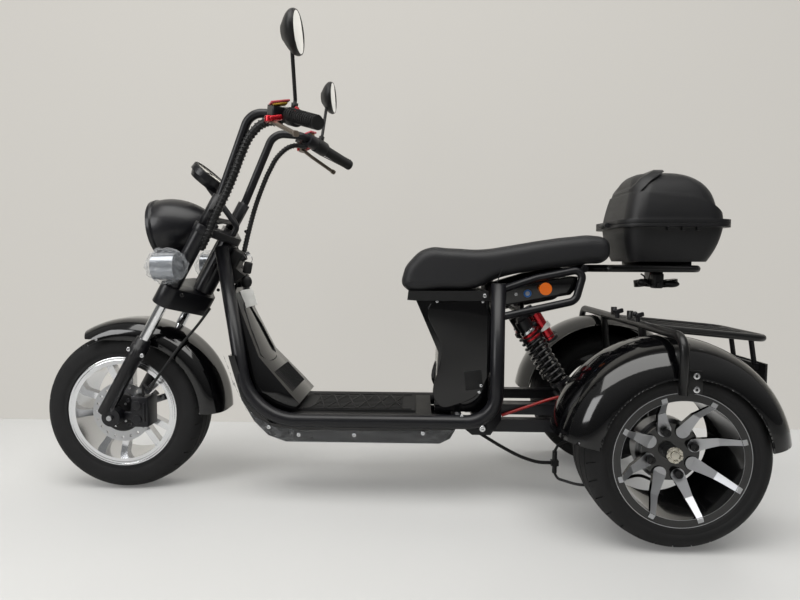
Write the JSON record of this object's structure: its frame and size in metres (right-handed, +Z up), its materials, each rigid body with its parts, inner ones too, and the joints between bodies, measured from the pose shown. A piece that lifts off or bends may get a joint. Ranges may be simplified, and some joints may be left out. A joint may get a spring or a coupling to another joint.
{
  "type": "electric tricycle",
  "caption": "Step-through electric tricycle with a steered front wheel, wide rear wheels, padded seat, top box that opens, rear rack and mirrors.",
  "frame": {"origin": "on the floor, at the middle of the whole length and width", "axes": "+X forward, +Y to the rider's left, +Z up; the tricycle stands on its three wheels"},
  "size_m": [2.157, 0.8666, 1.3202],
  "materials": {
    "battery_case": "plain block",
    "body_black": "gloss",
    "part_black": "gloss",
    "trim_black": "satin",
    "mat_rubber": "matt, ribbed",
    "chrome": "polished",
    "steel": "brushed",
    "steel_dark": "satin",
    "amber_lens": "clear gloss",
    "bright_alloy": "machined and polished",
    "tyre_black": "matt",
    "grip_rubber": "matt",
    "frame_black": "gloss",
    "plate_alloy": "satin",
    "rack_grey": "satin",
    "seat_leather": "matt",
    "reservoir_red": "anodised gloss",
    "spring_black": "gloss",
    "cable_black": "matt",
    "cable_red": "satin",
    "lever_bronze": "anodised",
    "clear_lens": "clear gloss",
    "lamp_glass": "clear gloss",
    "rim_black": "gloss, machined faces",
    "red_lens": "clear gloss",
    "box_black": "satin"
  },
  "bodies": {
    "frame": {"battery_pack": "battery_case", "belly_pan": "body_black", "floor_board": "trim_black", "floor_mat": "mat_rubber", "ignition_lock": "trim_black", "leg_shield": "body_black", "main_frame": "frame_black", "number_plate_bracket": "plate_alloy", "rear_axle": "steel_dark", "rear_brake_hose": "cable_black", "rear_fender_left": "body_black", "rear_fender_right": "body_black", "rear_indicators": "amber_lens", "rear_rack": "rack_grey", "red_cable": "cable_red", "seat": "seat_leather", "seat_base": "body_black", "seat_pan": "trim_black", "shock_absorbers": "part_black", "shock_reservoirs": "reservoir_red", "shock_springs": "spring_black", "swingarm": "frame_black", "tail_cover": "body_black", "tail_lamp": "red_lens", "top_box_base": "box_black", "top_rack": "rack_grey"},
    "steering": {"lower_fork_clamp": "frame_black", "upper_fork_clamp": "frame_black", "fork_legs": "part_black", "fork_stanchions": "chrome", "bar_cables": "cable_black", "brake_levers": "lever_bronze", "front_brake_hose": "cable_black", "headlamp_lens": "lamp_glass", "fork_covers": "part_black", "handlebar": "frame_black", "grips": "grip_rubber", "switch_housings": "trim_black", "brake_cylinders": "part_black", "mirrors": "trim_black", "front_indicators": "clear_lens", "headlamp": "part_black", "speedometer": "part_black", "front_mudguard": "body_black", "front_brake_caliper": "part_black", "front_axle": "steel"},
    "front_wheel": {"front_tyre": "tyre_black", "front_rim": "bright_alloy", "front_brake_disc": "steel"},
    "rear_wheel_left": {"rear_tyre_left": "tyre_black", "rear_rim_left": "rim_black", "rear_hub_left": "steel"},
    "rear_wheel_right": {"rear_tyre_right": "tyre_black", "rear_rim_right": "rim_black", "rear_hub_right": "steel"},
    "top_box_lid": {"top_box_lid": "box_black"}
  },
  "joints": [
    {"name": "steering_turn", "type": "hinge", "parent": "frame", "child": "steering", "pos_m": [0.57373, 0, 0.66342], "axis": [-0.4879, 0, 0.8729], "range_deg": [-40, 40]},
    {"name": "front_wheel_spin", "type": "hinge", "parent": "steering", "child": "front_wheel", "pos_m": [0.8355, 0, 0.243], "axis": [0, 1, 0], "continuous": true},
    {"name": "rear_wheel_left_spin", "type": "hinge", "parent": "frame", "child": "rear_wheel_left", "pos_m": [-0.6935, 0.298, 0.228], "axis": [0, 1, 0], "continuous": true},
    {"name": "rear_wheel_right_spin", "type": "hinge", "parent": "frame", "child": "rear_wheel_right", "pos_m": [-0.6935, -0.298, 0.228], "axis": [0, 1, 0], "continuous": true},
    {"name": "top_box_lid_hinge", "type": "hinge", "parent": "frame", "child": "top_box_lid", "pos_m": [-0.612, 0, 0.81], "axis": [0, 1, 0], "range_deg": [0, 75]}
  ]
}
